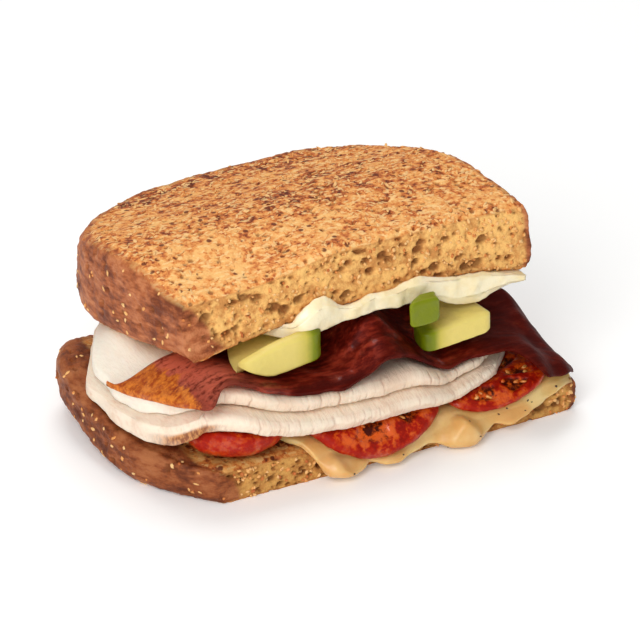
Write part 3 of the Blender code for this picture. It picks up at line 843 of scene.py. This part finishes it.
def add_turkey(look):
    """Two thick, soft slices of roast turkey, cracked along the grain where the knife went through.

    The upper one is folded up at its left end, where it makes a flap, painted lighter against the top slice's
    shade.
    """
    for name, layer, left, right, front, back, folded in (
        ("turkey_lower", LOWER_TURKEY, -65.5, 43.0, -38.8, 36, 0),
        ("turkey_upper", UPPER_TURKEY, -64.5, 42.0, -35.6, 38, 1),
    ):
        corners, faces = shell((330, 56, 12), 1.5)
        u, v, w = corners.T
        torn = rough(3 * u, 3 * v, layer, 0.8, 2)
        power = np.where(v < 0, 3.0, 7.0)
        length = np.maximum((np.abs(u) ** power + np.abs(v) ** power) ** (1 / power), 1e-9)
        corner = np.maximum(np.abs(u), np.abs(v)) / length
        x = (left + right) / 2 + (right - left) / 2 * u * corner + 1.6 * torn * np.abs(u) ** 6
        q = (front + back) / 2 + (back - front) / 2 * v * corner + 1.0 * torn * np.abs(v) ** 6
        q = q + 1.2 * np.abs(w) ** 4 * smooth((-0.93 - v) / 0.07)
        x = x + 13 * np.maximum(-u, 0) ** 2 * smooth((q - 8) / 25)
        height = lift(layer, x, q, (w + 1) / 2) - droop(x) + folded * fold(x, q)

        # The fibres part at uneven distances along the cut, more deeply in some places than in others.
        along = x + 1.4 * rough(x, 0, 0, 6, 4 + layer) + 0.5 * rough(x, q, 3 * w, 2.6, 6)
        apart = np.abs((along / 2.9 + 0.8 * rough(along, 0, 0, 8, 3 + layer)) % 1 - 0.5)
        depth = smooth(0.35 + 1.6 * rough(along, 0, 1.5 * w, 4, 70 + layer))
        depth = depth * (1.0 if folded else 0.5)
        cut = smooth((v + 1) * -16 + 1)
        # crack sinks the cracks and also paints them with shade.
        crack = smooth((0.085 - apart) / 0.075) * cut * depth
        push = -0.35 * crack + 0.45 * rougher(x, q, 4 * w, 5.5, 80 + layer)
        push = push + 0.14 * rough(x * 1.6, q, 3 * w, 1.5, 90)
        points = pushed(np.stack(drape(x, q, height), 1), faces, push)
        skin = hump(x + 57, 5.5) * smooth((-16 - q) / 5) * smooth((0.35 - w) / 0.5) * (1 - folded) * (w < 1)
        skin = np.clip(1.3 * skin + 0.35 * rough(x, q, 3 * w, 3, 15) * (skin > 0.2), 0, 1)
        # flap is painted light on the upward face of the folded end, against the top slice's shade.
        flap = folded * smooth((-x - 46) / 8) * smooth((q + 30) / 14)
        # upper paints shade over the upper slice, from its folded left end rightwards.
        piece(name, points, faces, look.finishes["turkey"], "roast_turkey", (name,),
              crack=crack, skin=skin, upper=folded * smooth((x + 50) / 8), flap=flap)


def add_bacon(look):
    """Two long rashers, wavy and crisp, with streaks of fat.

    turn is how far a rasher's left end turns back from the cut. lobes is 1 for the one that hangs over the
    turkey and has a fatty left end.
    """
    for name, left, right, front, back, turn, lobes, crests, seed in (
        ("bacon_front", -66, 54.5, -33.5, -10, 34.0, 1, FRONT_CRESTS, 1),
        ("bacon_back", -46, 50, -4.0, 25, 0.0, 0, BACK_CRESTS, 2),
    ):
        corners, faces = shell((260, 44, 4))
        u, v, w = corners.T
        x = (left + right) / 2 + u * (right - left) / 2
        sway = 1.5 * np.sin(x / 13)
        round_end = 1 - np.sqrt(1 - np.clip((-x - 52) / 14.5, 0, 1) ** 2)
        near = front + sway + turn * round_end + lobes * (
            6.0 * u**16 - 7.0 * smooth((x - 34) / 8) - 3.5 * hump(x + 57, 4)
        )
        far = back + sway + 0.32 * turn * round_end - 3.0 * u**16
        wavy = 0.7 * rough(x, 0, v, 6, seed) * np.abs(v) ** 3
        q = near + (v + 1) / 2 * (far - near) + wavy
        share = 0.5 + w / 2 * (1 - 0.4 * v**8)
        bubbled = 0.35 * rougher(x / 1.6, q, 0, 4.5, seed + 4, 3) + 0.12 * rough(x / 3, q, 0, 1.3, seed + 8)
        points = np.stack(drape(x, q, bacon_height(x, q, crests, share)), 1)
        points = pushed(points, faces, bubbled * np.sign(w) * 0.9)
        band = np.sin(2.4 * v + 0.9 * rough(x, 0, 0, 22, seed + 2) + seed)
        fat = smooth(band * 0.8 - 0.25) * 0.45
        fat = fat + 0.85 * lobes * smooth((-x - 53 + 4 * rough(x / 2, q, 0, 3.5, 21)) / 8)
        pink = lobes * hump(x + 53 + 0.3 * (q + 20), 7.5)
        char = 0.75 * smooth((-v - 0.86) / 0.1) * smooth(0.8 + rough(x, q, 0, 8, seed + 6))
        # The second part of the mask is painted shade: it darkens the right end, where the sandwich's other
        # half shades it.
        char = np.maximum(char * smooth((x + 58) / 10), 0.75 * smooth((x - 18) / 14))
        piece(name, points, faces, look.finishes["bacon"], "crisp_bacon", (name,),
              fat=fat, char=char, pink=pink)


def add_avocado(look):
    """Three pieces of avocado, green towards the rind and yellow inside.

    tip is how far a piece's lower edge rises to a thin left end. green is 1 where the rind was at its right,
    -1 at its left, and 0 for a piece that is green all over.
    """
    for name, front, half_width, length, low, high, tilt, tip, green in (
        ("avocado_left", (-32.0, -33.0), 12.0, 22, 31.0, 40.6, 0.10, 5.0, 1.0),
        ("avocado_middle", (7.8, -36.0), 4.4, 4.2, 36.4, 43.6, 0.0, 0.0, 0.0),
        ("avocado_right", (19.4, -33.5), 10.2, 17, 26.9, 33.2, 0.08, 0.0, -1.0),
    ):
        corners, faces = shell((44, 44, 24))
        inner = np.clip(corners, -0.72, 0.72)
        offset = corners - inner
        far = np.linalg.norm(offset, axis=1, keepdims=True)
        corners = inner + offset / np.maximum(far, 1e-9) * 0.28 * np.minimum(far / 0.28, 1.0)
        u, v, w = corners.T
        back = (v + 1) / 2
        side = u * half_width * (1 - 0.45 * back**2)
        x = front[0] + side + 3.0 * back**2
        y = front[1] + back * length
        q = np.maximum(y, BEND_Y)
        rest = bottom_top(x, q) + bacon_height(x, q, FRONT_CRESTS, 1.0) + GAP
        open_front = 6 * smooth((TOP_OFFSET - CUT_DEPTH - 4.0 - y) / 2)
        thin = high + tilt * side - 0.4 * tip * np.maximum(-u, 0)
        over = np.minimum(thin, arch(x, y) - SPREAD - 3 * GAP - 1.2 + open_front)
        rising = low + tilt * side + tip * np.maximum(-u - 0.3, 0) / 0.7
        under = np.minimum(np.maximum(rising, rest), over - 1.2)
        z = under + (over - under) * (w + 1) / 2 - 0.5 * u**4 * w
        push = 0.22 * rougher(x, y, z, 5, 7, 2) + 0.05 * rough(x, y, z, 1.4, 9)
        points = pushed(np.stack([x, y, z], 1), faces, push)
        rind = smooth((green * u - 0.15) / 0.85) if green else np.full_like(u, 0.8)
        piece(name, points, faces, look.finishes["avocado"], "avocado_flesh", (name,), rind=rind)


def add_spread(look):
    """A thick white spread under the top slice, squeezed out at the cut in lumps."""
    middle, half, narrow = -4, 46, 14  # its middle, half width, and how much less at the far crust
    reach = 67.6  # from the cut to its far edge
    corners, faces = shell((190, 72, 8), 1.3)
    u, v, w = corners.T
    along = 50 * u
    face = TOP_OFFSET - CUT_DEPTH - TOP_SLANT
    squeeze = 2.2 + sum(0.35 * up * hump(along - at, wide) for at, wide, up, down in SPREAD_LUMPS)
    squeeze = squeeze + 0.8 * rough(along, 0, 2 * w, 5, 3)
    start = face - 0.4 + 9.0 * smooth((-u - 0.5) / 0.15)
    # What was squeezed out lies at v from -1 to -2/3, and the rest runs to the far crust.
    behind = (face + reach - start) * (v + 2 / 3) * 3 / 5
    y = start + np.where(v < -2 / 3, -squeeze * (-2 / 3 - v) * 3, behind)
    x = middle + u * (half - narrow * smooth((y - 14) / 34) ** 2)
    low, high = arch(x, y) - GAP - SPREAD * press(x, y), arch(x, y) - GAP
    rise = smooth((-0.68 - v) / 0.14) - 0.35 * smooth((-0.84 - v) / 0.16)
    rise = rise * smooth((face + 0.1 - y) / 0.5)
    high = high + rise * sum(up * hump(x - at, wide) for at, wide, up, down in SPREAD_LUMPS)
    low = low - rise * sum(down * hump(x - at, wide) for at, wide, up, down in SPREAD_LUMPS)
    low = low + 0.6 * smooth((-0.8 - v) / 0.2)
    z = low + (high - low) * (w + 1) / 2
    free = smooth((-0.68 - v) / 0.1) * smooth((face + 0.1 - y) / 0.5)
    push = free * (0.8 * rougher(x, y, z, 6, 11, 3) + 0.2 * rough(x, y, z, 1.8, 13))
    points = pushed(np.stack([x, y, z], 1), faces, push)
    piece("white_spread", points, faces, look.finishes["spread"], "white_spread", ("white_spread",))


# ---------------------------------------------------------------- the stage

CAMERA_TURN, CAMERA_HEIGHT = math.radians(30), math.radians(27)  # to the left of the cut, and down
CAMERA_DISTANCE, VIEW_WIDTH = 2.0, 0.16667  # in metres
TARGET_RIGHT, TARGET_UP = -2.17, 21.5  # where it looks, across and up its own picture


def add_stage(look):
    """A pale floor, soft lights and the camera."""
    mesh = bpy.data.meshes.new("floor")
    mesh.from_pydata([(-3, -3, 0), (3, -3, 0), (3, 3, 0), (-3, 3, 0)], [], [(0, 1, 2, 3)])
    f = Finish(
        "floor", Roughness=0.6, Specular_IOR_Level=0.1, Emission_Color=(1, 1, 1, 1), Emission_Strength=0.12
    )
    mesh.materials.append(f.done(f.mix(f.noise(60, 2), (0.96, 0.96, 0.95), (0.98, 0.98, 0.97))))
    floor = bpy.data.objects.new("floor", mesh)
    bpy.context.scene.collection.objects.link(floor)

    world = bpy.data.worlds.new("studio")
    world.use_nodes = True
    room = world.node_tree.nodes["Background"].inputs
    room["Color"].default_value, room["Strength"].default_value = (1.0, 1.0, 1.0, 1.0), look.room_light
    bpy.context.scene.world = world
    for name, place, size, power in (
        ("key", (-0.55, -0.50, 0.60), 0.45, look.key_light),
        ("top", (0.10, 0.35, 0.90), 0.50, 0.85 * look.key_light),
        ("fill", (-0.62, -0.72, 0.20), 0.45, 0.32 * look.key_light),
    ):
        data = bpy.data.lights.new(name, "AREA")
        data.size, data.energy = size, power
        lamp = bpy.data.objects.new(name, data)
        lamp.location = place
        lamp.rotation_euler = (Vector((0, 0, 0.03)) - Vector(place)).to_track_quat("-Z", "Y").to_euler()
        bpy.context.scene.collection.objects.link(lamp)

    level = Vector((math.sin(CAMERA_TURN), math.cos(CAMERA_TURN), 0))
    across = Vector((math.cos(CAMERA_TURN), -math.sin(CAMERA_TURN), 0))
    rise = Vector((0, 0, 1))
    ahead = math.cos(CAMERA_HEIGHT) * level - math.sin(CAMERA_HEIGHT) * rise
    above = math.sin(CAMERA_HEIGHT) * level + math.cos(CAMERA_HEIGHT) * rise
    target = (TARGET_RIGHT * across + TARGET_UP * above) * MM
    data = bpy.data.cameras.new("camera")
    data.lens = data.sensor_width * CAMERA_DISTANCE / VIEW_WIDTH
    data.clip_start, data.clip_end = 0.05, 20
    camera = bpy.data.objects.new("camera", data)
    camera.location = target - ahead * CAMERA_DISTANCE
    camera.rotation_euler = ahead.to_track_quat("-Z", "Y").to_euler()
    bpy.context.scene.collection.objects.link(camera)
    bpy.context.scene.camera = camera
    bpy.context.scene.view_settings.view_transform = "Standard"


# ---------------------------------------------------------------- settings, operators and panel


def shade(name, description, *rgb):
    return bpy.props.FloatVectorProperty(
        name=name, description=description, subtype="COLOR", size=3, min=0.0, max=1.0, default=srgb(*rgb)
    )


class MeltLook(bpy.types.PropertyGroup):
    """Sizes and colours of the sandwich."""

    toast_pale: shade("Pale toast", "Least toasted parts of the bread's faces", 246, 188, 114)
    toast_golden: shade("Golden toast", "Most of the bread's faces", 230, 150, 78)
    toast_brown: shade("Brown toast", "Well toasted patches", 190, 100, 48)
    toast_dark: shade("Dark toast", "Specks that are nearly burnt", 100, 42, 22)
    flake_pale: shade("Pale flakes", "Oat flakes on the bread", 250, 206, 140)
    crust_light: shade("Light crust", "Lighter crust", 200, 128, 84)
    crust_brown: shade("Brown crust", "Most of the crust", 170, 95, 55)
    crust_dark: shade("Dark crust", "Creases of the crust", 112, 54, 30)
    crumb_golden: shade("Golden crumb", "Lighter crumb on the cut", 246, 192, 114)
    crumb_shade: shade("Crumb shade", "Deeper crumb on the cut", 206, 142, 78)
    # Painted shade inside the pores.
    pore_painted_shade: shade("Pores", "Inside of the pores", 112, 60, 24)
    cheese_pale: shade("Pale cheese", "Most of the cheese", 237, 203, 136)
    cheese_shade: shade("Deep cheese", "Thicker cheese", 222, 174, 102)
    tomato_orange: shade("Orange tomato", "Lighter flesh and gel", 216, 88, 18)
    tomato_red: shade("Red tomato", "Most of the tomato", 168, 28, 8)
    tomato_deep: shade("Deep tomato", "Skin and deep flesh", 134, 17, 6)
    tomato_dark: shade("Dark tomato", "Bottoms of the seed chambers", 72, 16, 6)
    seed_pale: shade("Tomato seeds", "Seeds in the tomato", 232, 170, 90)
    turkey_white: shade("White turkey", "Lightest meat", 247, 230, 207)
    turkey_pink: shade("Pink turkey", "Most of the meat", 244, 223, 200)
    # Deeper meat, and also the painted shade over the upper slice.
    turkey_shade: shade("Deep turkey", "Deeper meat", 234, 206, 180)
    # Painted light for the flap in the top slice's shade.
    flap_painted_light: shade("Pale flap", "The upper slice's left end", 255, 246, 230)
    # Painted shade in the turkey's cracks.
    crack_painted_shade: shade("Cracks", "Cracks between the fibres", 172, 122, 90)
    skin_golden: shade("Golden skin", "Roasted edge of the turkey", 204, 142, 84)
    skin_dark: shade("Dark skin", "Deeper roasted edge", 140, 80, 44)
    bacon_bright: shade("Bright bacon", "Redder lean", 142, 46, 28)
    bacon_pink: shade("Pink bacon", "Half clear lean beside the fat", 206, 104, 80)
    bacon_red: shade("Red bacon", "Most of the lean", 98, 22, 12)
    # Also the painted shade over the right end.
    bacon_dark: shade("Dark bacon", "Crisp, nearly black edges", 66, 8, 3)
    fat_golden: shade("Golden fat", "Lighter fat", 222, 130, 50)
    fat_brown: shade("Brown fat", "Crisp fat", 164, 70, 30)
    avocado_butter: shade("Butter avocado", "Middle of the flesh", 228, 207, 116)
    avocado_yellow: shade("Yellow avocado", "Most of the flesh", 202, 186, 82)
    avocado_green: shade("Green avocado", "Flesh towards the rind", 126, 136, 6)
    avocado_deep: shade("Deep avocado", "Flesh at the rind", 94, 104, 2)
    spread_white: shade("White spread", "Most of the spread", 255, 239, 203)
    spread_shade: shade("Cream spread", "Thinner spread", 250, 228, 180)
    pore_size: bpy.props.FloatProperty(
        name="Pore size", description="Spacing of the larger pores in the crumb", default=3.1 * MM,
        min=0.001, max=0.01, subtype="DISTANCE", unit="LENGTH",
    )
    key_light: bpy.props.FloatProperty(
        name="Key light", description="Power of the main light", default=4.0, min=0.0, unit="POWER"
    )
    room_light: bpy.props.FloatProperty(
        name="Room light", description="Brightness of the white room", default=0.42, min=0.0
    )


class Look:
    """The settings as plain numbers, and the finishes made from them."""

    def __init__(self, settings):
        for key in MeltLook.__annotations__:
            value = getattr(settings, key)
            setattr(self, key, tuple(value) if hasattr(value, "__len__") else value)


def look_with(context, *finishes):
    """The current settings, with these finishes made."""
    look = Look(context.scene.turkey_melt)
    look.finishes = {name: FINISHES[name](look) for name in finishes}
    return look


class MELT_OT_bread(bpy.types.Operator):
    """Make the two toasted half slices with their flakes and crumbs"""

    bl_idname, bl_label = "turkey_melt.bread", "Bread"

    def execute(self, context):
        add_bread(look_with(context, "bread", "flakes"))
        return {"FINISHED"}


class MELT_OT_cheese(bpy.types.Operator):
    """Make the melted cheese and its pepper"""

    bl_idname, bl_label = "turkey_melt.cheese", "Cheese"

    def execute(self, context):
        add_cheese(look_with(context, "cheese", "pepper"))
        return {"FINISHED"}


class MELT_OT_tomatoes(bpy.types.Operator):
    """Make the five slices of tomato and their seeds"""

    bl_idname, bl_label = "turkey_melt.tomatoes", "Tomatoes"

    def execute(self, context):
        add_tomatoes(look_with(context, "tomato", "seed"))
        return {"FINISHED"}


class MELT_OT_turkey(bpy.types.Operator):
    """Make the two slices of roast turkey"""

    bl_idname, bl_label = "turkey_melt.turkey", "Turkey"

    def execute(self, context):
        add_turkey(look_with(context, "turkey"))
        return {"FINISHED"}


class MELT_OT_bacon(bpy.types.Operator):
    """Make the two rashers of bacon"""

    bl_idname, bl_label = "turkey_melt.bacon", "Bacon"

    def execute(self, context):
        add_bacon(look_with(context, "bacon"))
        return {"FINISHED"}


class MELT_OT_avocado(bpy.types.Operator):
    """Make the three pieces of avocado"""

    bl_idname, bl_label = "turkey_melt.avocado", "Avocado"

    def execute(self, context):
        add_avocado(look_with(context, "avocado"))
        return {"FINISHED"}


class MELT_OT_spread(bpy.types.Operator):
    """Make the white spread"""

    bl_idname, bl_label = "turkey_melt.spread", "Spread"

    def execute(self, context):
        add_spread(look_with(context, "spread"))
        return {"FINISHED"}


class MELT_OT_stage(bpy.types.Operator):
    """Make the floor, the lights and the camera"""

    bl_idname, bl_label = "turkey_melt.stage", "Stage"

    def execute(self, context):
        add_stage(Look(context.scene.turkey_melt))
        return {"FINISHED"}


OPERATORS = (
    MELT_OT_bread, MELT_OT_cheese, MELT_OT_tomatoes, MELT_OT_turkey, MELT_OT_bacon, MELT_OT_avocado,
    MELT_OT_spread, MELT_OT_stage,
)


class MELT_PT_panel(bpy.types.Panel):
    """The sandwich's settings and its operators"""

    bl_idname, bl_label = "MELT_PT_panel", "Turkey melt"
    bl_space_type, bl_region_type, bl_category = "VIEW_3D", "UI", "Turkey melt"

    def draw(self, context):
        for key in MeltLook.__annotations__:
            self.layout.prop(context.scene.turkey_melt, key)
        for operator in OPERATORS:
            self.layout.operator(operator.bl_idname)


def register():
    for made in (MeltLook, *OPERATORS, MELT_PT_panel):
        bpy.utils.register_class(made)
    bpy.types.Scene.turkey_melt = bpy.props.PointerProperty(type=MeltLook)


def unregister():
    del bpy.types.Scene.turkey_melt
    for made in (MELT_PT_panel, *reversed(OPERATORS), MeltLook):
        bpy.utils.unregister_class(made)


def main():
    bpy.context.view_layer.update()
    register()
    for operator in OPERATORS:
        getattr(bpy.ops.turkey_melt, operator.bl_idname.split(".")[1])()
    bpy.context.view_layer.update()


if __name__ == "__main__":
    main()
